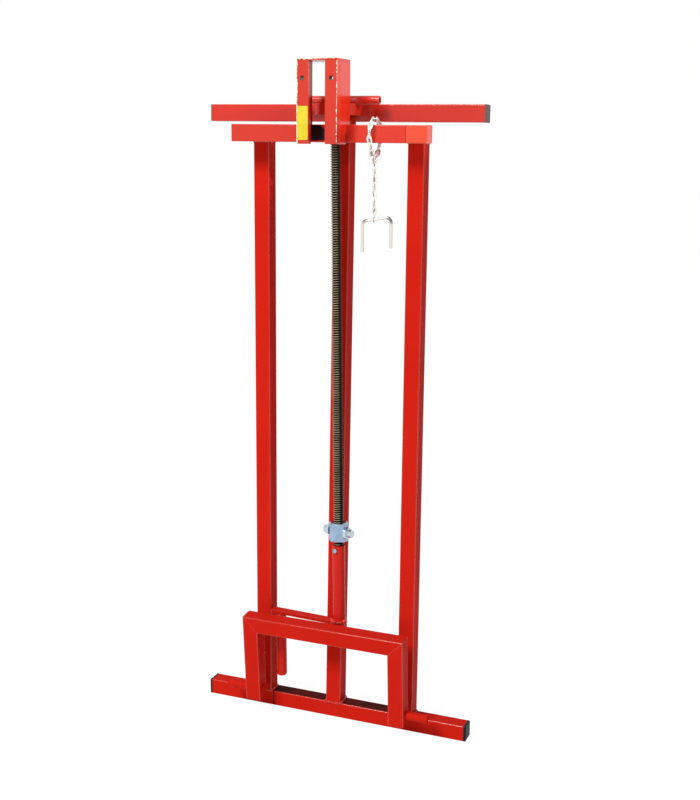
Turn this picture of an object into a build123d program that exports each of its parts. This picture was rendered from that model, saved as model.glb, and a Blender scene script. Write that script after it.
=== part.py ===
from build123d import *
import math
import os

# Lawn mower lift jack, folded and standing upright on its foot line.
# Millimetres, X to the right, Y to the back, Z up; origin on the floor under the middle of the foot line.

# Square tube of the frame
TUBE = 35.0
WALL = 2.5
LIGHT_WALL = 2.0
CORNER = 2.0
INNER_CORNER = 0.8

# Foot line and the axle that the spine folds about
FOOT_LENGTH = 622.4
CAP_FLANGE = 6.0
CAP_CHAMFER = 1.8
CAP_PLUG = 12.0
PLUG_CLEARANCE = 0.1
FOOT_SEAM_X = 147.5
SEAM_GAP = 1.0
AXLE_DIAMETER = 20.0
AXLE_STICK = 7.0
BUSH_LENGTH = 30.0
RUNNING_CLEARANCE = 0.06

# Uprights, their heads and the upper crossbar
UPRIGHT_X = 170.2
UPRIGHT_TOP = 1270.4
CROSSBAR_FRONT = -73.8
CROSSBAR_HALF = 210.7
END_BLOCK_LENGTH = 43.2

# Bracket on the crossbar
BRACKET_WIDTH = 85.2
BRACKET_REACH = 50.4
BRACKET_OVERLAP = 20.3
BRACKET_DROP = 2.9
BRACKET_RISE = 124.6
PLATE = 4.0
STRIP_WIDTH = 25.0
STRIP_THICKNESS = 15.0
PIN_SPACING = 61.0
PIN_HOLE_DIAMETER = 8.0
PIN_HOLE_RISE = 87.1

# Spine with its rear crossbar and the hinge of the screw
SPINE_LEAN = 1.3
SPINE_LENGTH = 1311.8
REAR_BAR_HALF = 301.0
REAR_PLUG_FLANGE = 1.5
REAR_PLUG_CHAMFER = 0.5
HINGE_BLOCK_WIDTH = 84.0
HINGE_BLOCK_DEPTH = 45.0
HINGE_BLOCK_DROP = 5.8
HINGE_BLOCK_RISE = 17.7
HINGE_TUBE_DIAMETER = 17.0
HINGE_TUBE_BORE = 12.0
HINGE_TUBE_LEFT = -84.0
HINGE_TUBE_RIGHT = 93.0
HINGE_TUBE_Y = -50.4
HINGE_TUBE_RISE = 23.9
SEAT_CLEARANCE = 0.05

# Lift screw: its axis leans as it hangs from the hinge block
SCREW_FOOT_X = 25.15
SCREW_FOOT_Y = -35.51
SCREW_SLOPE_X = -0.0207
SCREW_SLOPE_Y = 0.01138
SCREW_DIAMETER = 22.0
SCREW_BOTTOM = 346.0
SCREW_SHOULDER_GAP = 2.0
JOURNAL_DIAMETER = 16.0
JOURNAL_LENGTH = 16.5

# Nut block with its trunnion bolts
NUT_ACROSS = 40.0
NUT_HEIGHT = 42.0
NUT_BOTTOM = 425.0
NUT_TURN = 17.0
NUT_CHAMFER = 2.5
NUT_CLEARANCE = 0.1
TRUNNION_HEAD_ACROSS = 24.0
TRUNNION_HEAD = 8.0
TRUNNION_COLLAR_DIAMETER = 17.0
TRUNNION_REACH = 37.0

# Crank
HUB_DIAMETER = 27.0
HUB_BORE = 22.2
HUB_BOTTOM = 241.0
HUB_TOP = 415.0
CROSS_BOLT_DIAMETER = 6.0
CROSS_BOLT_HEAD = 10.0
CROSS_BOLT_HEAD_HEIGHT = 4.0
CROSS_BOLT_Z = 405.0
CROSS_BOLT_TURN = -12.0
CROSS_BOLT_CLEARANCE = 0.1
ARM_WIDTH = 21.0
ARM_THICKNESS = 8.0
ARM_TURN = -6.0
ARM_CORNER = 4.0
ARM_END = 21.0
ARM_TAIL = 14.0
GRIP_RADIUS_OF_TURN = 149.5
GRIP_DIAMETER = 24.0
GRIP_LENGTH = 149.0
GRIP_END_RADIUS = 6.0

# Stop frame, hinged on two pins in front of the uprights
STOP_PIVOT_Y = -61.5
STOP_PIVOT_Z = 60.0
STOP_LEAN = 4.6
STOP_BELOW = 21.0
STOP_ABOVE = 181.0
STOP_PIN_DIAMETER = 18.0
STOP_PIN_INNER = 150.0
STOP_PIN_OUTER = 238.0
WELD_CLEARANCE = 0.05
LUG_THICKNESS = 8.0
LUG_HEIGHT = 25.0
LUG_SLOT = 10.0
LUG_SLOT_TOP = 18.0

# Chain and locking pin
WIRE = 2.4
LINK_INNER_LENGTH = 16.2
LINK_INNER_WIDTH = 7.0
LINK_SLACK = 0.5
CHAIN_X = 97.0
CHAIN_SIDE = 1.8
LOOP_RADIUS = 30.4
LOOP_LINKS = 15
LOOP_DROP = 55.0
LOOP_SAG = 1.2
BEND_ALLOWANCE = 2.0
RING_INNER_LENGTH = 11.0
RING_INNER_WIDTH = 8.0
STRAND_LINKS = 6
END_LINK_INNER_LENGTH = 12.5
END_LINK_INNER_WIDTH = 7.5
PIN_WIRE = 6.0
PIN_CENTRE_X = 103.5
PIN_DROP = 62.0
PIN_SLANT = 10.0
PIN_BEND = 9.0

HALF = TUBE / 2
FOOT_TUBE_END = FOOT_LENGTH / 2 - CAP_FLANGE
OUTER_INNER_END = FOOT_SEAM_X + SEAM_GAP / 2
MIDDLE_END = FOOT_SEAM_X - SEAM_GAP / 2
CROSSBAR_Y = CROSSBAR_FRONT + HALF
CROSSBAR_Z = UPRIGHT_TOP + HALF
CROSSBAR_TOP = UPRIGHT_TOP + TUBE
BRACKET_FRONT = CROSSBAR_FRONT - BRACKET_REACH
BRACKET_REAR = CROSSBAR_FRONT + BRACKET_OVERLAP
BRACKET_BOTTOM = UPRIGHT_TOP - BRACKET_DROP
BRACKET_TOP = CROSSBAR_TOP + BRACKET_RISE
HINGE_BLOCK_BOTTOM = SPINE_LENGTH - HINGE_BLOCK_DROP
HINGE_BLOCK_TOP = SPINE_LENGTH + HINGE_BLOCK_RISE
HINGE_TUBE_Z = SPINE_LENGTH + HINGE_TUBE_RISE
SCREW_SHOULDER = HALF + HINGE_BLOCK_BOTTOM - SCREW_SHOULDER_GAP
JOURNAL_TOP = SCREW_SHOULDER + JOURNAL_LENGTH


def tube_section(wall):
    """Hollow square section with rounded corners."""
    outer = RectangleRounded(TUBE, TUBE, CORNER)
    inner = RectangleRounded(TUBE - 2 * wall, TUBE - 2 * wall, INNER_CORNER)
    return outer - inner


def tube_z(length, wall):
    """Square tube that stands on Z = 0."""
    return extrude(tube_section(wall), length)


def tube_x(x0, x1, wall):
    """Square tube along X, centred on Y = 0 and Z = 0."""
    return Pos(x0, 0, 0) * Rot(0, 90, 0) * tube_z(x1 - x0, wall)


def box_between(x0, x1, y0, y1, z0, z1):
    """Block given by its six faces."""
    middle = Pos((x0 + x1) / 2, (y0 + y1) / 2, (z0 + z1) / 2)
    return middle * Box(x1 - x0, y1 - y0, z1 - z0)


def rod_x(diameter, x0, x1):
    """Round bar along X on the X axis."""
    return Pos((x0 + x1) / 2, 0, 0) * Rot(0, 90, 0) * Cylinder(diameter / 2, x1 - x0)


def end_cap(wall, flange_height, edge):
    """Tube cap that faces +X: a bevelled flange outside X = 0 and a plug inside the tube."""
    flange = extrude(RectangleRounded(TUBE, TUBE, CORNER), flange_height)
    flange = chamfer(flange.faces().sort_by(Axis.Z)[-1].edges(), edge)
    size = TUBE - 2 * wall - 2 * PLUG_CLEARANCE
    plug = Pos(0, 0, -CAP_PLUG) * extrude(RectangleRounded(size, size, INNER_CORNER), CAP_PLUG)
    return Rot(0, 90, 0) * (flange + plug)


def axle_bush(wall, bore):
    """Square bush along X from X = 0, bored for the foot axle."""
    size = TUBE - 2 * wall - 2 * PLUG_CLEARANCE
    block = extrude(RectangleRounded(size, size, INNER_CORNER), BUSH_LENGTH)
    hole = Pos(0, 0, BUSH_LENGTH / 2) * Cylinder(bore / 2, BUSH_LENGTH + 2)
    return Rot(0, 90, 0) * (block - hole)


def both_sides(shape):
    """A piece on the right and its mirror image on the left."""
    return {"right": shape, "left": mirror(shape, about=Plane.YZ)}


nodes = {}

# Foot line: two outer tubes of the lift frame and the middle tube of the spine between them
foot_axis = Pos(0, 0, HALF)
for side, piece in both_sides(foot_axis * tube_x(OUTER_INNER_END, FOOT_TUBE_END, WALL)).items():
    nodes[side + "_foot_tube"] = piece
foot_cap = end_cap(WALL, CAP_FLANGE, CAP_CHAMFER)
for side, piece in both_sides(foot_axis * Pos(FOOT_TUBE_END, 0, 0) * foot_cap).items():
    nodes[side + "_foot_cap"] = piece
nodes["spine_foot_tube"] = foot_axis * tube_x(-MIDDLE_END, MIDDLE_END, WALL)

# Foot axle, fixed in the outer bushes and running in the spine's bushes
axle_end = OUTER_INNER_END + BUSH_LENGTH + AXLE_STICK
nodes["foot_axle"] = foot_axis * rod_x(AXLE_DIAMETER, -axle_end, axle_end)
fixed_bush = axle_bush(WALL, AXLE_DIAMETER + 2 * WELD_CLEARANCE)
turning_bush = axle_bush(WALL, AXLE_DIAMETER + 2 * RUNNING_CLEARANCE)
for side, piece in both_sides(foot_axis * Pos(OUTER_INNER_END, 0, 0) * fixed_bush).items():
    nodes[side + "_foot_bush"] = piece
for side, piece in both_sides(foot_axis * Pos(MIDDLE_END - BUSH_LENGTH, 0, 0) * turning_bush).items():
    nodes[side + "_spine_bush"] = piece

# Uprights on the outer foot tubes, and the heads that carry the crossbar in front of them
upright = Pos(UPRIGHT_X, 0, TUBE) * tube_z(UPRIGHT_TOP - TUBE, WALL)
for side, piece in both_sides(upright).items():
    nodes[side + "_upright"] = piece
head_front = CROSSBAR_FRONT + TUBE
head = Pos(UPRIGHT_X, HALF, CROSSBAR_Z) * Rot(90, 0, 0) * tube_z(HALF - head_front, WALL)
for side, piece in both_sides(head).items():
    nodes[side + "_upright_head"] = piece

# Upper crossbar: a tube closed at its left end, and a closed block welded on at the right
crossbar_axis = Pos(0, CROSSBAR_Y, CROSSBAR_Z)
seam_x = CROSSBAR_HALF - END_BLOCK_LENGTH
left_lid = extrude(RectangleRounded(TUBE, TUBE, CORNER), LIGHT_WALL)
crossbar = tube_x(-CROSSBAR_HALF + LIGHT_WALL, seam_x - SEAM_GAP, LIGHT_WALL)
crossbar += Pos(-CROSSBAR_HALF, 0, 0) * Rot(0, 90, 0) * left_lid
nodes["crossbar"] = crossbar_axis * crossbar
end_block = tube_x(seam_x, CROSSBAR_HALF - LIGHT_WALL, LIGHT_WALL)
end_block += Pos(CROSSBAR_HALF - LIGHT_WALL, 0, 0) * Rot(0, 90, 0) * left_lid
end_block += Pos(seam_x, 0, 0) * Rot(0, 90, 0) * left_lid
weld_size = TUBE - 2 * LIGHT_WALL - 2 * PLUG_CLEARANCE
spigot = Pos(seam_x - CAP_PLUG, 0, 0) * Rot(0, 90, 0) * extrude(
    RectangleRounded(weld_size, weld_size, INNER_CORNER), CAP_PLUG + LIGHT_WALL
)
nodes["crossbar_end_block"] = crossbar_axis * (end_block + spigot)

# Bracket: notched side plates, two front strips with a pin hole each, and a top plate
side_x = BRACKET_WIDTH / 2
strip_back = BRACKET_FRONT + STRIP_THICKNESS
plate_top = BRACKET_TOP - PLATE
side_plate = box_between(side_x - PLATE, side_x, strip_back, CROSSBAR_FRONT, BRACKET_BOTTOM, plate_top)
side_plate += box_between(side_x - PLATE, side_x, strip_back, BRACKET_REAR, CROSSBAR_TOP, plate_top)
for side, piece in both_sides(side_plate).items():
    nodes["bracket_" + side + "_plate"] = piece
strip = box_between(side_x - STRIP_WIDTH, side_x, BRACKET_FRONT, strip_back, BRACKET_BOTTOM, plate_top)
pin_hole = Rot(90, 0, 0) * Cylinder(PIN_HOLE_DIAMETER / 2, 3 * STRIP_THICKNESS)
strip -= Pos(PIN_SPACING / 2, BRACKET_FRONT, CROSSBAR_TOP + PIN_HOLE_RISE) * pin_hole
for side, piece in both_sides(strip).items():
    nodes["bracket_" + side + "_strip"] = piece
nodes["bracket_top_plate"] = box_between(
    -side_x, side_x, BRACKET_FRONT, BRACKET_REAR, plate_top, BRACKET_TOP
)

# Spine: tube cut to stand on the middle foot tube, leaning back, with the rear crossbar on top
spine_frame = Pos(0, 0, HALF) * Rot(-SPINE_LEAN, 0, 0)
spine_top = SPINE_LENGTH - HALF
spine = spine_frame * tube_z(spine_top, WALL)
nodes["spine_tube"] = spine - box_between(-TUBE, TUBE, -TUBE, TUBE, 0, TUBE)
rear_axis = spine_frame * Pos(0, 0, SPINE_LENGTH)
nodes["rear_crossbar"] = rear_axis * tube_x(-REAR_BAR_HALF, REAR_BAR_HALF, WALL)
rear_plug = Pos(REAR_BAR_HALF, 0, 0) * end_cap(WALL, REAR_PLUG_FLANGE, REAR_PLUG_CHAMFER)
for side, piece in both_sides(rear_plug).items():
    nodes["rear_" + side + "_plug"] = rear_axis * piece

# Lift screw: a line through its foot point, turned so that local Z runs along the screw
screw_x = math.degrees(math.atan(SCREW_SLOPE_X))
screw_y = math.degrees(math.atan(SCREW_SLOPE_Y))
screw_frame = Pos(SCREW_FOOT_X, SCREW_FOOT_Y, 0) * Rot(-screw_y, 0, 0) * Rot(0, screw_x, 0)

# Hinge of the screw on the rear crossbar: a block bored for the journal, and a round tube in a seat on it
block_front = -HALF - HINGE_BLOCK_DEPTH
block = box_between(
    -HINGE_BLOCK_WIDTH / 2, HINGE_BLOCK_WIDTH / 2, block_front, -HALF, HINGE_BLOCK_BOTTOM, HINGE_BLOCK_TOP
)
tube_line = Pos(0, HINGE_TUBE_Y, HINGE_TUBE_Z)
block -= tube_line * rod_x(HINGE_TUBE_DIAMETER + 2 * SEAT_CLEARANCE, -HINGE_BLOCK_WIDTH, HINGE_BLOCK_WIDTH)
journal_hole = Cylinder(JOURNAL_DIAMETER / 2 + RUNNING_CLEARANCE, 2 * HINGE_BLOCK_DEPTH)
nodes["screw_hinge_block"] = spine_frame * block - screw_frame * Pos(0, 0, JOURNAL_TOP) * journal_hole
hinge_tube = rod_x(HINGE_TUBE_DIAMETER, HINGE_TUBE_LEFT, HINGE_TUBE_RIGHT)
hinge_tube -= rod_x(HINGE_TUBE_BORE, HINGE_TUBE_LEFT - 1, HINGE_TUBE_RIGHT + 1)
nodes["screw_hinge_tube"] = spine_frame * tube_line * hinge_tube

# Screw with its journal, and the cross bolt's hole in the lower end
screw = Pos(0, 0, SCREW_BOTTOM) * extrude(Circle(SCREW_DIAMETER / 2), SCREW_SHOULDER - SCREW_BOTTOM)
screw += Pos(0, 0, SCREW_SHOULDER) * extrude(Circle(JOURNAL_DIAMETER / 2), JOURNAL_TOP - SCREW_SHOULDER)
bolt_line = Pos(0, 0, CROSS_BOLT_Z) * Rot(0, 0, CROSS_BOLT_TURN) * Rot(90, 0, 0)
bolt_hole = bolt_line * Cylinder(CROSS_BOLT_DIAMETER / 2 + CROSS_BOLT_CLEARANCE, 2 * HUB_DIAMETER)
nodes["lift_screw"] = screw_frame * (screw - bolt_hole)

# Eight-sided nut block, turned on the screw, with a trunnion bolt on its left and on its right
octagon = RegularPolygon(NUT_ACROSS / 2, 8, major_radius=False, rotation=22.5)
nut_shape = extrude(octagon, NUT_HEIGHT)
nut_ends = nut_shape.faces().sort_by(Axis.Z)
nut_shape = chamfer(nut_ends[0].edges() + nut_ends[-1].edges(), NUT_CHAMFER)
nut_shape -= Pos(0, 0, NUT_HEIGHT / 2) * Cylinder(SCREW_DIAMETER / 2 + NUT_CLEARANCE, NUT_HEIGHT + 2)
nut_frame = screw_frame * Pos(0, 0, NUT_BOTTOM) * Rot(0, 0, -NUT_TURN)
nodes["nut_block"] = nut_frame * nut_shape
nut_side = NUT_ACROSS / 2
hexagon = RegularPolygon(TRUNNION_HEAD_ACROSS / 2, 6, major_radius=False)
trunnion = Pos(nut_side, 0, 0) * Rot(0, 90, 0) * extrude(hexagon, TRUNNION_HEAD)
trunnion += rod_x(TRUNNION_COLLAR_DIAMETER, nut_side + TRUNNION_HEAD, TRUNNION_REACH)
for side, piece in both_sides(Pos(0, 0, NUT_HEIGHT / 2) * trunnion).items():
    nodes[side + "_trunnion_bolt"] = nut_frame * piece

# Crank: hub on the screw's lower end, held by the cross bolt, flat arm under it and round grip
hub = extrude(Circle(HUB_DIAMETER / 2) - Circle(HUB_BORE / 2), HUB_TOP - HUB_BOTTOM)
nodes["crank_hub"] = screw_frame * (Pos(0, 0, HUB_BOTTOM) * hub - bolt_hole)
bolt = Pos(0, 0, -HUB_DIAMETER / 2) * extrude(
    Circle(CROSS_BOLT_DIAMETER / 2), HUB_DIAMETER + CROSS_BOLT_HEAD_HEIGHT
)
bolt += Pos(0, 0, HUB_DIAMETER / 2 + CROSS_BOLT_CLEARANCE) * extrude(
    Circle(CROSS_BOLT_HEAD / 2), CROSS_BOLT_HEAD_HEIGHT
)
nodes["crank_cross_bolt"] = screw_frame * bolt_line * bolt
arm_frame = screw_frame * Pos(0, 0, HUB_BOTTOM - ARM_THICKNESS) * Rot(0, 0, ARM_TURN)
arm_length = GRIP_RADIUS_OF_TURN + ARM_END
arm_middle = (ARM_TAIL - arm_length) / 2
arm_outline = RectangleRounded(arm_length + ARM_TAIL, ARM_WIDTH, ARM_CORNER)
nodes["crank_arm"] = arm_frame * Pos(arm_middle, 0, 0) * extrude(arm_outline, ARM_THICKNESS)
grip = Pos(-GRIP_RADIUS_OF_TURN, 0, -GRIP_LENGTH) * extrude(Circle(GRIP_DIAMETER / 2), GRIP_LENGTH)
grip = fillet(grip.edges().group_by(Axis.Z)[0], GRIP_END_RADIUS)
nodes["crank_grip"] = arm_frame * grip

# Stop frame: mitred legs and top bar, hollow legs slotted at the back for the lugs
stop_frame = Pos(0, STOP_PIVOT_Y, STOP_PIVOT_Z) * Rot(STOP_LEAN, 0, 0)
inner_x = UPRIGHT_X - HALF
outer_x = UPRIGHT_X + HALF
mitre_low = STOP_ABOVE - TUBE
leg_outline = Polyline(
    (inner_x, -STOP_BELOW), (outer_x, -STOP_BELOW), (outer_x, STOP_ABOVE), (inner_x, mitre_low), close=True
)
bar_outline = Polyline(
    (-outer_x, STOP_ABOVE), (outer_x, STOP_ABOVE), (inner_x, mitre_low), (-inner_x, mitre_low), close=True
)
leg_prism = extrude(Plane.XZ * make_face(leg_outline), TUBE, both=True)
bar_prism = extrude(Plane.XZ * make_face(bar_outline), TUBE, both=True)
leg = Pos(UPRIGHT_X, 0, -STOP_BELOW) * tube_z(STOP_BELOW + STOP_ABOVE, LIGHT_WALL) & leg_prism
leg -= rod_x(STOP_PIN_DIAMETER + 2 * WELD_CLEARANCE, inner_x - 1, outer_x + 1)
leg -= box_between(
    UPRIGHT_X - LUG_SLOT / 2, UPRIGHT_X + LUG_SLOT / 2, HALF - 2 * LIGHT_WALL, TUBE, -TUBE, LUG_SLOT_TOP
)
for side, piece in both_sides(leg).items():
    nodes["stop_" + side + "_leg"] = stop_frame * piece
stop_bar = Pos(0, 0, STOP_ABOVE - HALF) * tube_x(-outer_x, outer_x, LIGHT_WALL) & bar_prism
nodes["stop_top_bar"] = stop_frame * stop_bar
for side, piece in both_sides(rod_x(STOP_PIN_DIAMETER, STOP_PIN_INNER, STOP_PIN_OUTER)).items():
    nodes[side + "_stop_pin"] = stop_frame * piece

# Stop lugs on the uprights, each with a round end inside a leg and a running hole for its pin
lug = box_between(
    -LUG_THICKNESS / 2, LUG_THICKNESS / 2, STOP_PIVOT_Y, -HALF, -LUG_HEIGHT / 2, LUG_HEIGHT / 2
)
lug += Pos(0, STOP_PIVOT_Y, 0) * rod_x(LUG_HEIGHT, -LUG_THICKNESS / 2, LUG_THICKNESS / 2)
lug -= Pos(0, STOP_PIVOT_Y, 0) * rod_x(STOP_PIN_DIAMETER + 2 * RUNNING_CLEARANCE, -TUBE, TUBE)
for side, piece in both_sides(Pos(UPRIGHT_X, 0, STOP_PIVOT_Z) * lug).items():
    nodes[side + "_stop_lug"] = piece


def chain_link(inner_length, inner_width):
    """Welded wire link along Z in the YZ plane, with flats for its round bows and its round wire."""
    bend = 2 - math.sqrt(2)
    straight = inner_length - inner_width
    outlines = []
    for radius in (inner_width / 2 + WIRE, inner_width / 2):
        flat = Rectangle(2 * radius, straight + 2 * radius)
        outlines.append(chamfer(flat.vertices(), radius * bend))
    ring = extrude(Plane.YZ * (outlines[0] - outlines[1]), WIRE / 2, both=True)
    sides = ring.faces().sort_by(Axis.X)
    return chamfer(sides[0].edges() + sides[-1].edges(), WIRE / 2 * bend)


# Chain loop: link centres on a circle round the crossbar and on its two tangents from a ring below
link = chain_link(LINK_INNER_LENGTH, LINK_INNER_WIDTH)
hook = (LINK_INNER_LENGTH - WIRE) / 2 - LINK_SLACK
slant = math.asin(LOOP_RADIUS / LOOP_DROP)
run = LOOP_DROP * math.cos(slant)
bend_radius = LOOP_RADIUS + BEND_ALLOWANCE
half_path = run + bend_radius * (slant + math.pi / 2)


def loop_point(distance):
    """Place on the front half of the loop, and its direction from straight up, by length from the ring."""
    if distance < run:
        return -distance * math.sin(slant), -LOOP_DROP + distance * math.cos(slant), slant
    turn = slant - (distance - run) / bend_radius
    return -LOOP_RADIUS * math.cos(turn), -LOOP_RADIUS * math.sin(turn), turn


loop_links = []
loop_axis = crossbar_axis * Pos(0, 0, -LOOP_SAG)
for number in range(LOOP_LINKS):
    share = number / (LOOP_LINKS - 1)
    length = hook + share * 2 * (half_path - hook)
    if length <= half_path:
        along_y, along_z, turn = loop_point(length)
    else:
        along_y, along_z, turn = loop_point(2 * half_path - length)
        along_y = -along_y
        turn = -turn
    place = loop_axis * Pos(CHAIN_X + CHAIN_SIDE * (2 * share - 1), along_y, along_z)
    place = place * Rot(math.degrees(turn), 0, 0)
    loop_links.append(place * Rot(0, 0, 90 * (number % 2)) * link)
ring_half = (RING_INNER_WIDTH + WIRE) / 2
ring_z = CROSSBAR_Z - LOOP_SAG - LOOP_DROP - ring_half
ring = Rot(0, 90, 0) * Rot(0, 0, 90) * chain_link(RING_INNER_LENGTH, RING_INNER_WIDTH)
ring = Pos(CHAIN_X, CROSSBAR_Y, ring_z) * ring
nodes["chain_loop"] = Compound(children=loop_links + [ring])

# Chain strand below the ring, ending in a larger link
strand_top = ring_z - ring_half
pitch = LINK_INNER_LENGTH - LINK_SLACK
strand = []
for number in range(STRAND_LINKS):
    place = Pos(CHAIN_X, CROSSBAR_Y, strand_top - hook - number * pitch)
    strand.append(place * Rot(0, 0, 90 * (number % 2)) * link)
last_wire = strand_top - hook - (STRAND_LINKS - 1) * pitch - (LINK_INNER_LENGTH + WIRE) / 2
end_hook = (END_LINK_INNER_LENGTH - WIRE) / 2 - LINK_SLACK
end_z = last_wire - end_hook
end_link = chain_link(END_LINK_INNER_LENGTH, END_LINK_INNER_WIDTH)
strand.append(Pos(CHAIN_X, CROSSBAR_Y, end_z) * end_link)
nodes["chain_strand"] = Compound(children=strand)

# Locking pin: a bent wire with upright legs, which hangs by its slanting bridge in the end link
bridge_z = end_z - END_LINK_INNER_LENGTH / 2 + PIN_WIRE / 2 + LINK_SLACK
pin_left = PIN_CENTRE_X - PIN_SPACING / 2
pin_right = PIN_CENTRE_X + PIN_SPACING / 2
left_z = bridge_z + (pin_left - CHAIN_X) * PIN_SLANT / PIN_SPACING
right_z = left_z + PIN_SLANT
pin_path = FilletPolyline(
    (pin_left, CROSSBAR_Y, left_z - PIN_DROP),
    (pin_left, CROSSBAR_Y, left_z),
    (pin_right, CROSSBAR_Y, right_z),
    (pin_right, CROSSBAR_Y, right_z - PIN_DROP),
    radius=PIN_BEND,
)
pin_section = Plane((pin_left, CROSSBAR_Y, left_z - PIN_DROP)) * Circle(PIN_WIRE / 2)
nodes["locking_pin"] = sweep(pin_section, path=pin_path)

os.makedirs("parts", exist_ok=True)
for name, shape in nodes.items():
    export_step(shape, "parts/" + name + ".step")
print(len(nodes), "pieces", "ring bottom", strand_top, "bridge", bridge_z)
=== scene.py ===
import bpy
import bmesh
import math
import random
from mathutils import Matrix, Vector


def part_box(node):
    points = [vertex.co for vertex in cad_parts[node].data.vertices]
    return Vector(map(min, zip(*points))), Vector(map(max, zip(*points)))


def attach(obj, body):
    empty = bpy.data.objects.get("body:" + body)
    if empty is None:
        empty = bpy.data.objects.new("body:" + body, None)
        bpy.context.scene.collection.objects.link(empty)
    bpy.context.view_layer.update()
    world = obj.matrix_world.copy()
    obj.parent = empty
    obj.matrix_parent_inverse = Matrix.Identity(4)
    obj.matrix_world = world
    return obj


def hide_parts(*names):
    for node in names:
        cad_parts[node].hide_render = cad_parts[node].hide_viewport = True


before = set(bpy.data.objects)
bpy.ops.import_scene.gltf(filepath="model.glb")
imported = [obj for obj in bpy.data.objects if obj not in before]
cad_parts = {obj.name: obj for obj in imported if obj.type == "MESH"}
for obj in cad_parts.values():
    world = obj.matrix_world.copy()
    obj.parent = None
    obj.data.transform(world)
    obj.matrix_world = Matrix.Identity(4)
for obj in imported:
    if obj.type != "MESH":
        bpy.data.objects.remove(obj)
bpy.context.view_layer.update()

# Foot line: two square steel tubes of the lift frame, saw-cut and painted after welding.
# Their seams with the spine's own foot tube show as thin dark lines beside the uprights.


def linear(hex_code):
    """sRGB hex colour as linear RGBA."""
    channels = []
    for place in (1, 3, 5):
        value = int(hex_code[place:place + 2], 16) / 255
        channels.append(value / 12.92 if value <= 0.04045 else ((value + 0.055) / 1.055) ** 2.4)
    return (*channels, 1.0)


def add_node(material, kind, settings=(), links=()):
    """Adds a shader node, with settings by attribute, input name or input number.

    Each link is an input of the new node, the node that feeds it, and that node's output.
    """
    made = material.node_tree.nodes.new(kind)
    for name, value in dict(settings).items():
        if isinstance(name, int) or name in made.inputs:
            made.inputs[name].default_value = value
        else:
            setattr(made, name, value)
    for name, source, output in links:
        material.node_tree.links.new(source.outputs[output], made.inputs[name])
    return made


def start_material(name):
    """An empty node material, and the node that gives its coordinates."""
    material = bpy.data.materials.new(name)
    material.use_nodes = True
    material.node_tree.nodes.clear()
    place = add_node(material, "ShaderNodeTexCoord")
    return material, place


def close_material(material, settings, links):
    """Ends a material with its shader and output."""
    shader = add_node(material, "ShaderNodeBsdfPrincipled", settings, links)
    add_node(material, "ShaderNodeOutputMaterial", links=[("Surface", shader, 0)])


def patch_scale(millimetres):
    """Scale of a noise whose patches are about this wide."""
    return 1000 / millimetres


def two_tones(material, place, first, second, millimetres, detail):
    """Patches of about this width, and the tone that drifts with them between two colours."""
    patches = add_node(
        material,
        "ShaderNodeTexNoise",
        {"Scale": patch_scale(millimetres), "Detail": detail},
        [("Vector", place, "Object")],
    )
    tone = add_node(
        material,
        "ShaderNodeMix",
        {"data_type": "RGBA", 6: linear(first), 7: linear(second)},
        [(0, patches, "Fac")],
    )
    return patches, tone


def red_coat(name, thick, thin):
    """Sprayed red enamel before its shader: clouds of tone about 11 cm wide, and an orange peel of 2 mm."""
    material, place = start_material(name)
    tone = two_tones(material, place, thick, thin, millimetres=111.1, detail=3.0)[1]
    peel = add_node(
        material,
        "ShaderNodeTexNoise",
        {"Scale": patch_scale(2.083), "Detail": 1.0},
        [("Vector", place, "Object")],
    )
    peel_bump = add_node(
        material, "ShaderNodeBump", {"Strength": 0.05, "Distance": 0.0005}, [("Height", peel, "Fac")]
    )
    return material, tone, peel_bump, place


def plain_red(name, thick, thin, finish):
    """Red enamel with nothing on it and one finish all over."""
    material, tone, peel_bump = red_coat(name, thick, thin)[:3]
    close_material(material, finish, [("Base Color", tone, 2), ("Normal", peel_bump, 0)])
    return material


def new_piece(shape, name, materials, crease=32):
    """Turns a finished bmesh into an object, smooth but for edges sharper than the crease in degrees."""
    mesh = bpy.data.meshes.new(name)
    shape.to_mesh(mesh)
    shape.free()
    mesh.shade_smooth()
    mesh.set_sharp_from_angle(angle=math.radians(crease))
    for material in materials:
        mesh.materials.append(material)
    piece = bpy.data.objects.new(name, mesh)
    bpy.context.scene.collection.objects.link(piece)
    return piece


def close_corners(piece):
    """Joins the corners that a bevel has brought together."""
    corners = piece.modifiers.new("closed_corners", "WELD")
    corners.merge_threshold = 5e-6


def cad_copy(node, material, name, body, edge_material=None, broken_edge=0.0):
    """A merged copy of a CAD node that stands for it on its body.

    Narrow rounded edges may have a second finish.
    Sharp ones may be broken a little, as filing and paint do.
    """
    narrow = 0.003
    shape = bmesh.new()
    shape.from_mesh(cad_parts[node].data)
    bmesh.ops.remove_doubles(shape, verts=shape.verts, dist=1e-5)
    bmesh.ops.dissolve_limit(shape, angle_limit=math.radians(0.5), verts=shape.verts, edges=shape.edges)
    materials = [material]
    if edge_material is not None:
        materials.append(edge_material)
    for face in shape.faces:
        longest = max(edge.calc_length() for edge in face.edges)
        on_edge = edge_material is not None and face.calc_area() < narrow * longest
        face.material_index = int(on_edge)
    piece = new_piece(shape, name, materials)
    if broken_edge:
        edge = piece.modifiers.new("broken_edge", "BEVEL")
        edge.width = broken_edge
        edge.segments = 2
        edge.angle_limit = math.radians(40)
        edge.material = len(materials) - 1
        close_corners(piece)
    flats = piece.modifiers.new("true_flats", "WEIGHTED_NORMAL")
    flats.keep_sharp = True
    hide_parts(node)
    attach(piece, body)
    return piece


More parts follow.
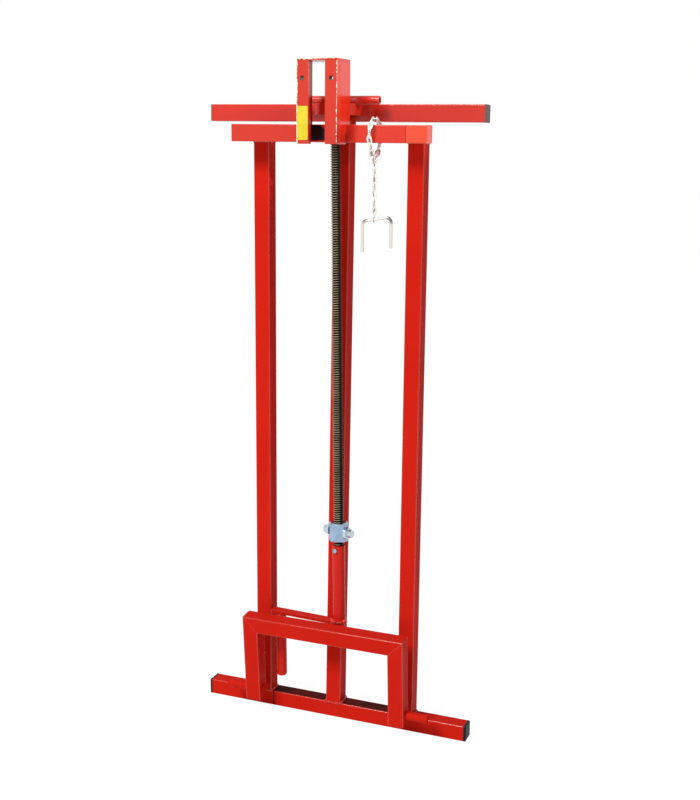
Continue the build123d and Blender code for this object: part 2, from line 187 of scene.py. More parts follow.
# Red enamel on the long tubes: nearly matt on the flats, and wet and shiny over the rounded edges,
# where each edge that faces the lamp draws a thin bright line.
satin_red = plain_red(
    "satin_red_enamel", "#bd1b10", "#cb2417", {"Roughness": 0.4, "Specular IOR Level": 0.01}
)
gloss_red = plain_red("gloss_red_enamel", "#be1e0b", "#ca2610", {"Roughness": 0.18, "IOR": 1.5})
for node in ("left_foot_tube", "right_foot_tube"):
    cad_copy(node, satin_red, node + "_paint", "lift_frame", gloss_red)

# Foot caps: black plastic plugs pressed into the tube ends, moulded with a fine matt grain.
# Only their flanges show, slightly rounded at the rim. The grain is drawn about 1 mm wide,
# coarser than a moulded one, so that it shows.
black_plastic, place = start_material("moulded_black_polyethylene")
grain, grain_tone = two_tones(black_plastic, place, "#0d0f13", "#1f232a", millimetres=1.111, detail=2.0)
grain_bump = add_node(
    black_plastic, "ShaderNodeBump", {"Strength": 0.2, "Distance": 0.0004}, [("Height", grain, "Fac")]
)
close_material(
    black_plastic,
    {"Roughness": 0.5, "IOR": 1.51, "Specular IOR Level": 0.12},
    [("Base Color", grain_tone, 2), ("Normal", grain_bump, 0)],
)
for node in ("left_foot_cap", "right_foot_cap"):
    cad_copy(node, black_plastic, node + "_moulding", "lift_frame", broken_edge=0.0008)

# Axle and bushes inside the foot line: plain turned steel, seen only at the seams.
# The bushes are square blocks bored for the axle.
turned_steel, place = start_material("turned_steel")
tool_marks = add_node(
    turned_steel,
    "ShaderNodeTexNoise",
    {"Scale": patch_scale(3.333), "Detail": 2.0},
    [("Vector", place, "Object")],
)
steel_shine = add_node(
    turned_steel, "ShaderNodeMapRange", {"To Min": 0.3, "To Max": 0.5}, [("Value", tool_marks, "Fac")]
)
close_material(
    turned_steel,
    {"Base Color": linear("#8f8f90"), "Metallic": 1.0},
    [("Roughness", steel_shine, 0)],
)
for node in ("foot_axle", "left_foot_bush", "right_foot_bush"):
    cad_copy(node, turned_steel, node + "_turned", "lift_frame")
for node in ("left_spine_bush", "right_spine_bush"):
    cad_copy(node, turned_steel, node + "_turned", "spine")

# Uprights and their heads: square tubes stood on the foot tubes and welded all round.
# The fillet welds show as rippled, shiny beads under the paint.
for side in ("left", "right"):
    cad_copy(side + "_upright", satin_red, side + "_upright_paint", "lift_frame", gloss_red)
    cad_copy(side + "_upright_head", satin_red, side + "_upright_head_paint", "lift_frame", gloss_red)


def place_piece(shape, name, materials, body, crease=32):
    """Makes a finished bmesh a piece of the object that rides on a body."""
    piece = new_piece(shape, name, materials, crease)
    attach(piece, body)
    return piece


def weld_bead(corners, size, name, body, closed, seed):
    """Fillet weld along straight runs between corner points: overlapping ripples of uneven size."""
    ripple_step = size * 0.75
    shortened = 0.8
    chance = random.Random(seed)
    shape = bmesh.new()
    points = [Vector(corner) for corner in corners]
    if closed:
        points.append(points[0])
    for first, last in zip(points, points[1:]):
        run = last - first
        count = max(2, int(run.length / ripple_step))
        turn = run.to_track_quat("X", "Z").to_matrix().to_4x4()
        for step in range(count):
            centre = first + run * ((step + 0.5) / count)
            wide = size * chance.uniform(0.8, 1.2)
            tall = wide * chance.uniform(0.8, 1.15)
            ripple = Matrix.Diagonal((wide * shortened, wide, tall, 1))
            spot = Matrix.Translation(centre) @ turn @ ripple
            bmesh.ops.create_icosphere(shape, subdivisions=2, radius=1.0, matrix=spot)
    return place_piece(shape, name, [gloss_red], body, crease=80)


def square_loop(low, high, height):
    """Corners of a level loop round the walls of a standing tube, from two opposite corners of its plan."""
    return [
        (low[0], low[1], height),
        (high[0], low[1], height),
        (high[0], high[1], height),
        (low[0], high[1], height),
    ]


base_bead = 0.0022
top_bead = 0.0018
for side, seed in (("left", 3), ("right", 4)):
    low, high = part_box(side + "_upright")
    base_loop = square_loop(low, high, low[2])
    weld_bead(base_loop, base_bead, side + "_upright_base_weld", "lift_frame", closed=True, seed=seed)
    top_loop = square_loop(low, high, high[2])
    weld_bead(top_loop, top_bead, side + "_upright_top_weld", "lift_frame", closed=True, seed=seed + 4)

# Upper crossbar with its closed end block: square tube across the fronts of the heads, with a saw gap
# before the end block. Between the bracket's strips its face is painted near black, as painted shade in the
# bracket's deep bay and as grease from the screw, ragged at the rim and cut off toward the upper right
# corner.
shaded_greased_red, tone, peel_bump, place = red_coat("greased_red_enamel", "#be210b", "#ca2b10")
bar_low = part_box("crossbar")[0]
shade_grease_half = Vector((0.0386, 0.006, 0.0148))
shade_grease_centre = Vector((0.0, bar_low[1], bar_low[2] + 0.0188))
corner_cut_toward = (0.65, 0, 0.76)
corner_cut_past = 0.003
ragged_by = 0.003
soft_rim = 0.0006
ragged = add_node(
    shaded_greased_red,
    "ShaderNodeTexNoise",
    {"Scale": patch_scale(6.25), "Detail": 3.0},
    [("Vector", place, "Object")],
)
from_centre = add_node(
    shaded_greased_red,
    "ShaderNodeVectorMath",
    {"operation": "SUBTRACT", 1: shade_grease_centre},
    [(0, place, "Object")],
)
either_side = add_node(
    shaded_greased_red, "ShaderNodeVectorMath", {"operation": "ABSOLUTE"}, [(0, from_centre, "Vector")]
)
outside = add_node(
    shaded_greased_red,
    "ShaderNodeVectorMath",
    {"operation": "SUBTRACT", 1: shade_grease_half},
    [(0, either_side, "Vector")],
)
outside_axes = add_node(shaded_greased_red, "ShaderNodeSeparateXYZ", links=[(0, outside, "Vector")])
wider = add_node(
    shaded_greased_red,
    "ShaderNodeMath",
    {"operation": "MAXIMUM"},
    [(0, outside_axes, "X"), (1, outside_axes, "Y")],
)
widest = add_node(
    shaded_greased_red, "ShaderNodeMath", {"operation": "MAXIMUM"}, [(0, wider, 0), (1, outside_axes, "Z")]
)
corner_cut_reach = add_node(
    shaded_greased_red,
    "ShaderNodeVectorMath",
    {"operation": "DOT_PRODUCT", 1: corner_cut_toward},
    [(0, from_centre, "Vector")],
)
corner_left = add_node(
    shaded_greased_red, "ShaderNodeMath", {"operation": "SUBTRACT", 1: corner_cut_past}, [(0, corner_cut_reach, "Value")]
)
shade_grease_edge = add_node(
    shaded_greased_red, "ShaderNodeMath", {"operation": "MAXIMUM"}, [(0, widest, 0), (1, corner_left, 0)]
)
shade_grease_soft = add_node(
    shaded_greased_red,
    "ShaderNodeMath",
    {"operation": "MULTIPLY_ADD", 1: ragged_by, 2: -ragged_by / 2},
    [(0, ragged, "Fac")],
)
shade_grease_reach = add_node(
    shaded_greased_red, "ShaderNodeMath", {"operation": "ADD"}, [(0, shade_grease_edge, 0), (1, shade_grease_soft, 0)]
)
# Painted shade and grease: this mask mixes the crossbar face between the bracket's strips to near black.
shade_and_grease = add_node(
    shaded_greased_red,
    "ShaderNodeMapRange",
    {"From Min": soft_rim, "From Max": -soft_rim},
    [("Value", shade_grease_reach, 0)],
)
shaded_greased_tone = add_node(
    shaded_greased_red,
    "ShaderNodeMix",
    {"data_type": "RGBA", 7: linear("#1c1716")},
    [(0, shade_and_grease, 0), (6, tone, 2)],
)
close_material(
    shaded_greased_red,
    {"Roughness": 0.24, "IOR": 1.5},
    [("Base Color", shaded_greased_tone, 2), ("Normal", peel_bump, 0)],
)
cad_copy("crossbar", shaded_greased_red, "crossbar_paint", "lift_frame")

# The end block is a paler, faded red, and only the edges of its far end are ground round.
# The grinding and its closed corners go before the modifier that keeps the flats true.
faded_red = plain_red("faded_red_enamel", "#cb361a", "#d64626", {"Roughness": 0.3, "IOR": 1.5})
end_block = cad_copy("crossbar_end_block", faded_red, "crossbar_end_block_paint", "lift_frame")
far_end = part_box("crossbar_end_block")[1][0]
ground = end_block.data.attributes.new("bevel_weight_edge", "FLOAT", "EDGE")
for number, edge in enumerate(end_block.data.edges):
    at_end = all(end_block.data.vertices[corner].co.x > far_end - 1e-4 for corner in edge.vertices)
    ground.data[number].value = float(at_end)
ground_end = end_block.modifiers.new("ground_end", "BEVEL")
ground_end.limit_method = "WEIGHT"
ground_end.width = 0.003
ground_end.segments = 3
end_block.modifiers.move(1, 0)
close_corners(end_block)
end_block.modifiers.move(2, 1)

# Bracket: two thick front strips drilled for the pin, side plates and a top plate, all welded together.
# Their outer edges are chipped down to a pale primer, less on the right, and the pin holes are painted dark
# inside as painted shade.
chipped_red, tone, peel_bump, place = red_coat("chipped_red_enamel", "#b8220e", "#c42d13")
strip_low, strip_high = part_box("bracket_right_strip")
front_edge = (strip_high[0], -strip_low[1], 0)
top_edge = (0, -strip_low[1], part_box("bracket_top_plate")[1][2])
pin_hole = (0.0305, 0, 1.3925)
pin_hole_radius = 0.0046
chip_most = 0.0085
chip_loss = 0.0026
chip_loss_right = 0.0012
flake = add_node(
    chipped_red,
    "ShaderNodeTexNoise",
    {"Scale": patch_scale(4.762), "Detail": 3.0},
    [("Vector", place, "Object")],
)
folded = add_node(chipped_red, "ShaderNodeVectorMath", {"operation": "ABSOLUTE"}, [(0, place, "Object")])
in_plan = add_node(
    chipped_red, "ShaderNodeVectorMath", {"operation": "MULTIPLY", 1: (1, 1, 0)}, [(0, folded, "Vector")]
)
from_side = add_node(
    chipped_red, "ShaderNodeVectorMath", {"operation": "DISTANCE", 1: front_edge}, [(0, in_plan, "Vector")]
)
in_profile = add_node(
    chipped_red, "ShaderNodeVectorMath", {"operation": "MULTIPLY", 1: (0, 1, 1)}, [(0, folded, "Vector")]
)
from_top = add_node(
    chipped_red, "ShaderNodeVectorMath", {"operation": "DISTANCE", 1: top_edge}, [(0, in_profile, "Vector")]
)
from_edge = add_node(
    chipped_red,
    "ShaderNodeMath",
    {"operation": "MINIMUM"},
    [(0, from_side, "Value"), (1, from_top, "Value")],
)
chip_axes = add_node(chipped_red, "ShaderNodeSeparateXYZ", links=[(0, place, "Object")])
right_half = add_node(
    chipped_red, "ShaderNodeMath", {"operation": "GREATER_THAN", 1: 0.0}, [(0, chip_axes, "X")]
)
less_chipped = add_node(
    chipped_red,
    "ShaderNodeMath",
    {"operation": "MULTIPLY_ADD", 1: chip_loss_right, 2: chip_loss},
    [(0, right_half, 0)],
)
chip_reach = add_node(
    chipped_red, "ShaderNodeMath", {"operation": "MULTIPLY", 1: chip_most}, [(0, flake, "Fac")]
)
chip_width = add_node(
    chipped_red, "ShaderNodeMath", {"operation": "SUBTRACT"}, [(0, chip_reach, 0), (1, less_chipped, 0)]
)
chip = add_node(
    chipped_red, "ShaderNodeMath", {"operation": "LESS_THAN"}, [(0, from_edge, 0), (1, chip_width, 0)]
)
chipped_tone = add_node(
    chipped_red,
    "ShaderNodeMix",
    {"data_type": "RGBA", 7: linear("#f0e2cc")},
    [(0, chip, 0), (6, tone, 2)],
)
in_front = add_node(
    chipped_red, "ShaderNodeVectorMath", {"operation": "MULTIPLY", 1: (1, 0, 1)}, [(0, folded, "Vector")]
)
from_hole = add_node(
    chipped_red, "ShaderNodeVectorMath", {"operation": "DISTANCE", 1: pin_hole}, [(0, in_front, "Vector")]
)
# Painted shade: inside the pin holes the strips are mixed to near black.
hole_shade = add_node(
    chipped_red,
    "ShaderNodeMath",
    {"operation": "LESS_THAN", 1: pin_hole_radius},
    [(0, from_hole, "Value")],
)
hole_shaded_tone = add_node(
    chipped_red,
    "ShaderNodeMix",
    {"data_type": "RGBA", 7: linear("#1d1310")},
    [(0, hole_shade, 0), (6, chipped_tone, 2)],
)
close_material(
    chipped_red,
    {"Roughness": 0.22, "IOR": 1.5},
    [("Base Color", hole_shaded_tone, 2), ("Normal", peel_bump, 0)],
)
for node in ("bracket_left_strip", "bracket_right_strip", "bracket_top_plate"):
    cad_copy(node, chipped_red, node + "_paint", "lift_frame", broken_edge=0.0007)
for node in ("bracket_left_plate", "bracket_right_plate"):
    cad_copy(node, gloss_red, node + "_paint", "lift_frame", broken_edge=0.0005)
seam_bead = 0.0018
seam_inset = 0.0012
seam_above_foot = 0.004
seam_below_head = 0.003
for side, sign in (("left", -1), ("right", 1)):
    low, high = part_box("bracket_" + side + "_strip")
    seam_x = (high[0] if sign > 0 else low[0]) - sign * seam_inset
    seam_run = [
        (seam_x, high[1], low[2] + seam_above_foot),
        (seam_x, high[1], high[2] - seam_below_head),
    ]
    seam_name = "bracket_" + side + "_seam_weld"
    weld_bead(seam_run, seam_bead, seam_name, "lift_frame", closed=False, seed=11 + sign)

# Blank patch on the left strip: a plain yellow vinyl sticker, 0.3 mm thick, with rounded corners.
# It is slightly uneven in tone where it has been handled.
yellow_vinyl, place = start_material("yellow_vinyl_film")
smear_tone = two_tones(yellow_vinyl, place, "#c8b31f", "#d8c838", millimetres=14.29, detail=4.0)[1]
close_material(
    yellow_vinyl,
    {"Roughness": 0.4, "IOR": 1.5, "Specular IOR Level": 0.2},
    [("Base Color", smear_tone, 2)],
)
film = 0.0003
patch_bottom = 1.275
patch_top = 1.340
left_margin = 0.002
right_margin = 0.001
low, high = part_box("bracket_left_strip")
patch_low = Vector((low[0] + left_margin, low[1] - film, patch_bottom))
patch_high = Vector((high[0] - right_margin, low[1], patch_top))
patch = bmesh.new()
centre = (patch_low + patch_high) / 2
span = patch_high - patch_low
bmesh.ops.create_cube(patch, size=1.0, matrix=Matrix.Translation(centre) @ Matrix.Diagonal((*span, 1)))
corner_edges = [edge for edge in patch.edges if abs(edge.verts[0].co.y - edge.verts[1].co.y) > 1e-5]
bmesh.ops.bevel(
    patch, geom=corner_edges, offset=0.002, segments=4, profile=0.5, affect="EDGES", material=-1
)
place_piece(patch, "blank_yellow_patch", [yellow_vinyl], "lift_frame")

# Chain and locking pin: bright zinc-plated wire, links welded shut and the pin bent from one rod.
# The plating is pale with a slightly uneven grey, and the bends of the pin are painted a darker grey as
# painted shade.
bright_zinc, place = start_material("bright_zinc_wire")
spangle_tone = two_tones(bright_zinc, place, "#e2dfd7", "#fbf9f2", millimetres=2.857, detail=2.0)[1]
close_material(bright_zinc, {"Metallic": 0.7, "Roughness": 0.3}, [("Base Color", spangle_tone, 2)])
for node, body in (("chain_loop", "lift_frame"), ("chain_strand", "chain")):
    links = cad_copy(node, bright_zinc, node + "_zinc", body)
    round_wire = links.modifiers.new("round_wire", "SUBSURF")
    round_wire.levels = 1
    round_wire.render_levels = 1
bent_zinc, place = start_material("bent_zinc_rod")
pin_low, pin_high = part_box("locking_pin")
pin_middle = ((pin_low[0] + pin_high[0]) / 2, 0, 0)
pin_half = pin_high[0] - pin_middle[0]
shade_starts = 0.016
shaded_across = 0.008
shaded_down = 0.01
from_middle = add_node(
    bent_zinc, "ShaderNodeVectorMath", {"operation": "SUBTRACT", 1: pin_middle}, [(0, place, "Object")]
)
pin_axes = add_node(bent_zinc, "ShaderNodeSeparateXYZ", links=[(0, from_middle, "Vector")])
off_middle = add_node(bent_zinc, "ShaderNodeMath", {"operation": "ABSOLUTE"}, [(0, pin_axes, "X")])
outward = add_node(
    bent_zinc,
    "ShaderNodeMapRange",
    {"From Min": pin_half - shade_starts, "From Max": pin_half - shaded_across},
    [("Value", off_middle, 0)],
)
upward = add_node(
    bent_zinc,
    "ShaderNodeMapRange",
    {"From Min": pin_high[2] - shade_starts, "From Max": pin_high[2] - shaded_down},
    [("Value", pin_axes, "Z")],
)
# Painted shade: the tops of both bends of the pin are mixed to a darker grey.
bend_shade = add_node(bent_zinc, "ShaderNodeMath", {"operation": "MULTIPLY"}, [(0, outward, 0), (1, upward, 0)])
bend_shaded_tone = add_node(
    bent_zinc,
    "ShaderNodeMix",
    {"data_type": "RGBA", 6: linear("#e8e5dd"), 7: linear("#837b78")},
    [(0, bend_shade, 0)],
)
close_material(bent_zinc, {"Metallic": 0.9, "Roughness": 0.3}, [("Base Color", bend_shaded_tone, 2)])
cad_copy("locking_pin", bent_zinc, "locking_pin_zinc", "locking_pin")

# Spine: its own foot tube, the leaning tube welded on it, and the rear crossbar across the top.
# The bead round the tube's base is thick and uneven. The foot tube's top is painted dark in patches,
# as painted shade and reflection, and the seams at its ends are dark.
cad_copy("spine_tube", satin_red, "spine_tube_paint", "spine", gloss_red)
top_shaded_red, tone, peel_bump, place = red_coat("shaded_top_red_enamel", "#bd1b10", "#cb2417")
tube_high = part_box("spine_foot_tube")[1]
top_band_depth = 0.0012
seam_wide = 0.0014
shade_patches = add_node(
    top_shaded_red,
    "ShaderNodeTexNoise",
    {"Scale": patch_scale(22.22), "Detail": 3.0},
    [("Vector", place, "Object")],
)
shade_axes = add_node(top_shaded_red, "ShaderNodeSeparateXYZ", links=[(0, place, "Object")])
# Painted shade and reflection: the top face of the foot tube is darkened in patches.
on_top = add_node(
    top_shaded_red,
    "ShaderNodeMath",
    {"operation": "GREATER_THAN", 1: tube_high[2] - top_band_depth},
    [(0, shade_axes, "Z")],
)
shade_strength = add_node(
    top_shaded_red,
    "ShaderNodeMapRange",
    {"From Min": 0.3, "From Max": 0.6, "To Min": 0.84, "To Max": 0.98},
    [("Value", shade_patches, "Fac")],
)
top_shade = add_node(
    top_shaded_red, "ShaderNodeMath", {"operation": "MULTIPLY"}, [(0, on_top, 0), (1, shade_strength, 0)]
)
along = add_node(top_shaded_red, "ShaderNodeMath", {"operation": "ABSOLUTE"}, [(0, shade_axes, "X")])
at_seam = add_node(
    top_shaded_red,
    "ShaderNodeMath",
    {"operation": "GREATER_THAN", 1: tube_high[0] - seam_wide},
    [(0, along, 0)],
)
shade_and_seams = add_node(
    top_shaded_red, "ShaderNodeMath", {"operation": "MAXIMUM"}, [(0, top_shade, 0), (1, at_seam, 0)]
)
shaded_seamed_tone = add_node(
    top_shaded_red,
    "ShaderNodeMix",
    {"data_type": "RGBA", 7: linear("#2a0f0b")},
    [(0, shade_and_seams, 0), (6, tone, 2)],
)
close_material(
    top_shaded_red,
    {"Roughness": 0.4, "Specular IOR Level": 0.01},
    [("Base Color", shaded_seamed_tone, 2), ("Normal", peel_bump, 0)],
)
cad_copy("spine_foot_tube", top_shaded_red, "spine_foot_tube_paint", "spine", gloss_red)
for node in ("rear_crossbar", "screw_hinge_block", "screw_hinge_tube"):
    cad_copy(node, gloss_red, node + "_paint", "spine")
spine_bead = 0.0034
base_half = 0.0176
spine_loop = square_loop((-base_half, -base_half), (base_half, base_half), tube_high[2])
weld_bead(spine_loop, spine_bead, "spine_base_weld", "spine", closed=True, seed=21)

# Plugs of the rear crossbar: pressed-in plastic mouldings that have faded to a grey brown.
# Their faces are dusty and matt.
brown_plastic, place = start_material("faded_brown_polyethylene")
dust_tone = two_tones(brown_plastic, place, "#4c3a34", "#75625a", millimetres=6.25, detail=3.0)[1]
close_material(brown_plastic, {"Roughness": 0.55, "IOR": 1.5}, [("Base Color", dust_tone, 2)])
for node in ("rear_left_plug", "rear_right_plug"):
    cad_copy(node, brown_plastic, node + "_moulding", "spine")

# Lift screw: a trapezoidal thread of 22 mm by 5 mm pitch, rolled from bar, blackened and oiled.
# The crests are rubbed to a dull gold-grey by the nut and the roots stay dark with oil; the crests on one
# side are painted dark as painted shade.
black_thread, place = start_material("blackened_oiled_steel")
oil, oil_tone = two_tones(black_thread, place, "#080706", "#14110d", millimetres=8.333, detail=3.0)
oil_shine = add_node(
    black_thread, "ShaderNodeMapRange", {"To Min": 0.3, "To Max": 0.5}, [("Value", oil, "Fac")]
)
close_material(
    black_thread,
    {"Metallic": 0.4, "Specular IOR Level": 0.2},
    [("Base Color", oil_tone, 2), ("Roughness", oil_shine, 0)],
)
worn_crest, place = start_material("rubbed_thread_crest")
rub_tone = two_tones(worn_crest, place, "#54492f", "#dccb9f", millimetres=25.0, detail=4.0)[1]
# Painted shade: crests that face this side are mixed to near black.
shaded_side = (0.934, 0.358, 0.0)
toward_shade = add_node(
    worn_crest, "ShaderNodeVectorMath", {"operation": "DOT_PRODUCT", 1: shaded_side}, [(0, place, "Normal")]
)
crest_shade = add_node(
    worn_crest,
    "ShaderNodeMapRange",
    {"From Min": 0.15, "From Max": 0.5},
    [("Value", toward_shade, "Value")],
)
crest_tone = add_node(
    worn_crest,
    "ShaderNodeMix",
    {"data_type": "RGBA", 7: linear("#0e0c09")},
    [(0, crest_shade, 0), (6, rub_tone, 2)],
)
close_material(
    worn_crest,
    {"Metallic": 0.25, "Roughness": 0.3, "Specular IOR Level": 0.3},
    [("Base Color", crest_tone, 2)],
)
screw_foot = Vector((0.02515, -0.03551, 0.0))
back_slope = 0.01138
side_slope = -0.0207
screw_place = (
    Matrix.Translation(screw_foot)
    @ Matrix.Rotation(-math.atan(back_slope), 4, "X")
    @ Matrix.Rotation(math.atan(side_slope), 4, "Y")
)
pitch = 0.005
crest = 0.011
root = 0.00825
root_flat = 0.0017
crest_rises = 0.00276
crest_falls = 0.00394
thread_low = 0.346
thread_high = 1.3215
journal_radius = 0.008
journal_length = 0.0165
around = 24
turns = int((thread_high - thread_low) / pitch) + 2
closing = 2e-5
thread = bmesh.new()
ridge = [(root, 0.0), (root, root_flat), (crest, crest_rises), (crest, crest_falls), (root, pitch)]
ridge_verts = [thread.verts.new((radius, 0, thread_low - pitch + rise)) for radius, rise in ridge]
ridge_edges = [thread.edges.new(pair) for pair in zip(ridge_verts, ridge_verts[1:])]
bmesh.ops.spin(
    thread,
    geom=ridge_verts + ridge_edges,
    cent=(0, 0, 0),
    axis=(0, 0, 1),
    dvec=(0, 0, pitch / around),
    angle=math.tau * turns,
    steps=around * turns,
    use_merge=False,
)
bmesh.ops.remove_doubles(thread, verts=thread.verts, dist=closing)
for level, above in ((thread_low, False), (thread_high, True)):
    bmesh.ops.bisect_plane(
        thread,
        geom=thread.verts[:] + thread.edges[:] + thread.faces[:],
        plane_co=(0, 0, level),
        plane_no=(0, 0, 1),
        clear_outer=above,
        clear_inner=not above,
    )
bmesh.ops.remove_doubles(thread, verts=thread.verts, dist=closing)
rims = [edge for edge in thread.edges if edge.is_boundary]
bmesh.ops.holes_fill(thread, edges=rims, sides=0)
near_crest = crest - 0.0002
for face in thread.faces:
    on_crest = all(math.hypot(vert.co.x, vert.co.y) > near_crest for vert in face.verts)
    face.material_index = int(on_crest)
bmesh.ops.create_cone(
    thread,
    cap_ends=True,
    segments=32,
    radius1=journal_radius,
    radius2=journal_radius,
    depth=journal_length,
    matrix=Matrix.Translation((0, 0, thread_high + journal_length / 2)),
)
bmesh.ops.recalc_face_normals(thread, faces=thread.faces)
bmesh.ops.transform(thread, matrix=screw_place, verts=thread.verts)
screw = place_piece(
    thread, "lift_screw_thread", [black_thread, worn_crest], "screw", crease=30
)
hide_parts("lift_screw")

# Nut block with its trunnion bolts: bluish zinc plate on machined steel, edges broken with a file.
# The block is mottled over about 15 mm and uneven in shine, and the bolts are clear and shiny.
blue_zinc, place = start_material("blue_passivated_zinc")
mottle, mottle_tone = two_tones(blue_zinc, place, "#7893b0", "#b4cbe0", millimetres=15.38, detail=4.0)
mottle_shine = add_node(
    blue_zinc, "ShaderNodeMapRange", {"To Min": 0.18, "To Max": 0.38}, [("Value", mottle, "Fac")]
)
close_material(
    blue_zinc, {"Metallic": 1.0}, [("Base Color", mottle_tone, 2), ("Roughness", mottle_shine, 0)]
)
filed_edge = 0.0008
cad_copy("nut_block", blue_zinc, "nut_block_zinc", "nut", broken_edge=filed_edge)
clear_zinc, place = start_material("clear_zinc_bolt")
wrench_marks = add_node(
    clear_zinc,
    "ShaderNodeTexNoise",
    {"Scale": patch_scale(3.846), "Detail": 3.0},
    [("Vector", place, "Object")],
)
bolt_shine = add_node(
    clear_zinc, "ShaderNodeMapRange", {"To Min": 0.06, "To Max": 0.2}, [("Value", wrench_marks, "Fac")]
)
close_material(
    clear_zinc,
    {"Base Color": linear("#c3cdd8"), "Metallic": 1.0},
    [("Roughness", bolt_shine, 0)],
)
for node in ("left_trunnion_bolt", "right_trunnion_bolt"):
    cad_copy(node, clear_zinc, node + "_zinc", "nut", broken_edge=filed_edge)

# Crank: a round hub over the screw's end, held by a silver cross bolt, with a flat arm and a round grip.
# All but the bolt are painted, the hub is welded to the arm with a lumpy bead, and hands have polished
# the grip.
rubbed_red = plain_red(
    "hand_rubbed_red_enamel", "#bd1b10", "#cb2417", {"Roughness": 0.25, "Specular IOR Level": 0.12}
)
worn_edge = 0.0006
for node in ("crank_hub", "crank_grip"):
    cad_copy(node, rubbed_red, node + "_paint", "screw", broken_edge=worn_edge)
cad_copy("crank_arm", satin_red, "crank_arm_paint", "screw", gloss_red, worn_edge)
cad_copy("crank_cross_bolt", blue_zinc, "crank_cross_bolt_zinc", "screw", broken_edge=filed_edge)


def hub_point(radius, height, twelfths):
    """Point on a ring round the screw, by twelfths of a turn."""
    angle = math.tau * twelfths / 12
    return screw_place @ Vector((radius * math.cos(angle), radius * math.sin(angle), height))


hub_bead = 0.0034
hub_bead_radius = 0.0137
hub_bead_height = 0.2412
hub_loop = [hub_point(hub_bead_radius, hub_bead_height, step) for step in range(12)]
weld_bead(hub_loop, hub_bead, "hub_base_weld", "screw", closed=True, seed=31)
lump_bead = 0.0052
lump_radius = 0.0165
lump_height = 0.2425
for name, first, last in (("front", 6.4, 8.6), ("right", 10.9, 11.5)):
    lump = [hub_point(lump_radius, lump_height, step) for step in (first, (first + last) / 2, last)]
    weld_bead(lump, lump_bead, "hub_" + name + "_weld_lump", "screw", closed=False, seed=37)

# Stop frame: mitred square tubes welded at the corners, hung on two round pins.
# On the front wall the mitre welds are ground down to a thin ridge that shows as a line.
for node in ("stop_left_leg", "stop_right_leg", "stop_top_bar"):
    cad_copy(node, satin_red, node + "_paint", "stop_frame", gloss_red, 0.0012)
for node in ("left_stop_pin", "right_stop_pin"):
    cad_copy(node, satin_red, node + "_paint", "stop_frame")
for node in ("left_stop_lug", "right_stop_lug"):
    cad_copy(node, satin_red, node + "_paint", "lift_frame")
stop_lean = math.radians(4.6)
ridge_wide = 0.0015
same_corner = 2e-4
same_wall = 1e-4
outward = Vector((0, -math.cos(stop_lean), -math.sin(stop_lean)))
bar_corners = [vert.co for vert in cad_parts["stop_top_bar"].data.vertices]
for side in ("left", "right"):
    leg_corners = [vert.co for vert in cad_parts["stop_" + side + "_leg"].data.vertices]
    shared = [
        spot
        for spot in leg_corners
        if any((spot - other).length < same_corner for other in bar_corners)
    ]
    foremost = max(spot.dot(outward) for spot in shared)
    on_front = [spot for spot in shared if spot.dot(outward) > foremost - same_wall]
    first = min(on_front, key=lambda spot: spot.z)
    last = max(on_front, key=lambda spot: spot.z)
    run = last - first
    turn = run.to_track_quat("X", "Y").to_matrix().to_4x4() @ Matrix.Rotation(math.radians(45), 4, "X")
    mitre = bmesh.new()
    ridge_size = Matrix.Diagonal((run.length, ridge_wide, ridge_wide, 1))
    ridge_place = Matrix.Translation((first + last) / 2) @ turn @ ridge_size
    bmesh.ops.create_cube(mitre, size=1.0, matrix=ridge_place)
    place_piece(mitre, "stop_" + side + "_mitre_weld", [gloss_red], "stop_frame")

# Floor and backdrop: a plain white sweep that runs out behind the jack.
# For the camera and in reflections it is near white, and it keeps the jack's soft shadow.


def shown_rays(owner):
    """Node that is 1 for the rays that show a backdrop as it is: camera, glossy and transmission ones."""
    rays = add_node(owner, "ShaderNodeLightPath")
    seen = add_node(
        owner,
        "ShaderNodeMath",
        {"operation": "MAXIMUM"},
        [(0, rays, "Is Camera Ray"), (1, rays, "Is Glossy Ray")],
    )
    return add_node(
        owner,
        "ShaderNodeMath",
        {"operation": "MAXIMUM"},
        [(0, seen, 0), (1, rays, "Is Transmission Ray")],
    )


white_sweep = start_material("white_sweep")[0]
shown = shown_rays(white_sweep)
paper = add_node(white_sweep, "ShaderNodeBsdfDiffuse", {"Color": linear("#f4f4f4")})
glow = add_node(white_sweep, "ShaderNodeEmission", {"Color": linear("#ffffff"), "Strength": 1.1})
veil = add_node(white_sweep, "ShaderNodeMixShader", {0: 0.85}, [(1, paper, 0), (2, glow, 0)])
sweep = add_node(white_sweep, "ShaderNodeMixShader", links=[(0, shown, 0), (1, paper, 0), (2, veil, 0)])
add_node(white_sweep, "ShaderNodeOutputMaterial", links=[("Surface", sweep, 0)])
floor_shape = bmesh.new()
bmesh.ops.create_grid(floor_shape, x_segments=1, y_segments=1, size=30.0)
floor = new_piece(floor_shape, "floor", [white_sweep])

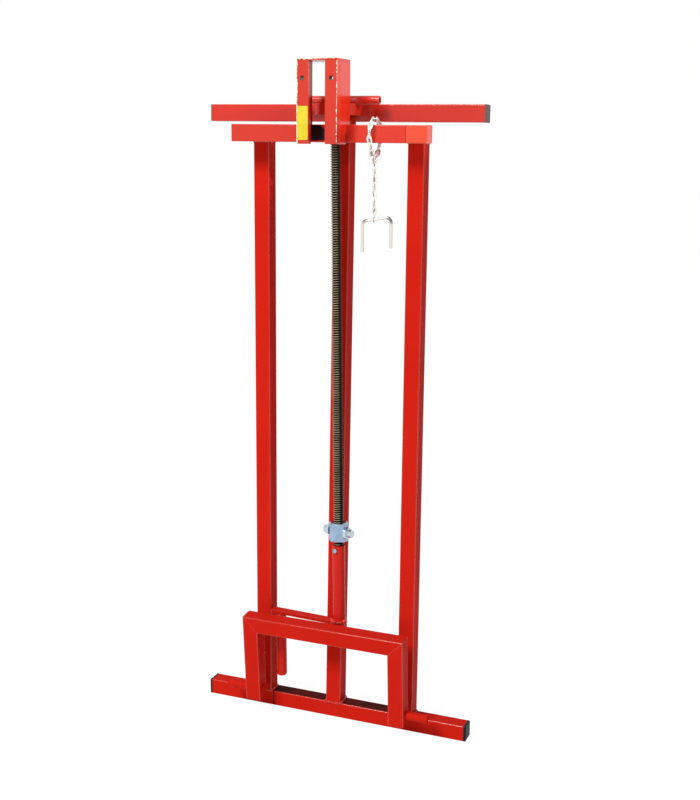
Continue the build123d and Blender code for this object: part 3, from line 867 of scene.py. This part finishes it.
# Light: a soft key from the upper front left, a pale room, and narrow lamps on the right of the bracket
# and of the end block. Their levels let a colour render about as it is written.
world = bpy.data.worlds.new("studio")
bpy.context.scene.world = world
world.use_nodes = True
world.node_tree.nodes.clear()
shown = shown_rays(world)
room = add_node(world, "ShaderNodeBackground", {"Color": linear("#ffffff"), "Strength": 0.45})
white = add_node(world, "ShaderNodeBackground", {"Color": linear("#ffffff"), "Strength": 1.0})
sky = add_node(world, "ShaderNodeMixShader", links=[(0, shown, 0), (1, room, 0), (2, white, 0)])
add_node(world, "ShaderNodeOutputWorld", links=[("Surface", sky, 0)])


def hang_lamp(data, place, aim):
    """Hangs a lamp at a place, turned to a spot on the jack."""
    lamp = bpy.data.objects.new(data.name, data)
    lamp.location = place
    lamp.rotation_euler = (Vector(aim) - Vector(place)).to_track_quat("-Z", "Y").to_euler()
    bpy.context.scene.collection.objects.link(lamp)


key = bpy.data.lights.new("key_softbox", "AREA")
key.size = 1.9
key.energy = 398
hang_lamp(key, (-1.5, -4.8, 5.6), (0, 0, 0.75))
snoot_place = (2.0, -0.45, 1.75)
for name, watts, cone, aim in (
    ("bracket_snoot", 165, 6.0, (0.0426, -0.086, 1.37)),
    ("end_block_snoot", 200, 2.2, (0.2107, -0.0563, 1.288)),
):
    snoot = bpy.data.lights.new(name, "SPOT")
    snoot.energy = watts
    snoot.spot_size = math.radians(cone)
    snoot.spot_blend = 0.3
    snoot.shadow_soft_size = 0.05
    hang_lamp(snoot, snoot_place, aim)

# Camera: eye at the crossbar's height, 21 degrees to the right of the front, tilted down.
# Its place was solved from the edges of the foot line and the uprights.
eye = Vector((0.9409, -2.3436, 1.2856))
yaw = 0.3716
tilt = 0.2166
roll = 0.0097
focal_pixels = 1204.8
image_width = 700
forward = Vector((-math.sin(yaw) * math.cos(tilt), math.cos(yaw) * math.cos(tilt), -math.sin(tilt)))
right = Vector((math.cos(yaw), math.sin(yaw), 0))
up = right.cross(forward)
right_rolled = right * math.cos(roll) + up * math.sin(roll)
up_rolled = up * math.cos(roll) - right * math.sin(roll)
camera_data = bpy.data.cameras.new("camera")
camera_data.sensor_fit = "HORIZONTAL"
camera_data.sensor_width = 36.0
camera_data.lens = focal_pixels / image_width * camera_data.sensor_width
camera_data.clip_end = 100
camera = bpy.data.objects.new("camera", camera_data)
turn = Matrix((right_rolled, up_rolled, -forward)).transposed().to_4x4()
camera.matrix_world = Matrix.Translation(eye) @ turn
bpy.context.scene.collection.objects.link(camera)
bpy.context.scene.camera = camera
bpy.context.scene.view_settings.view_transform = "Standard"
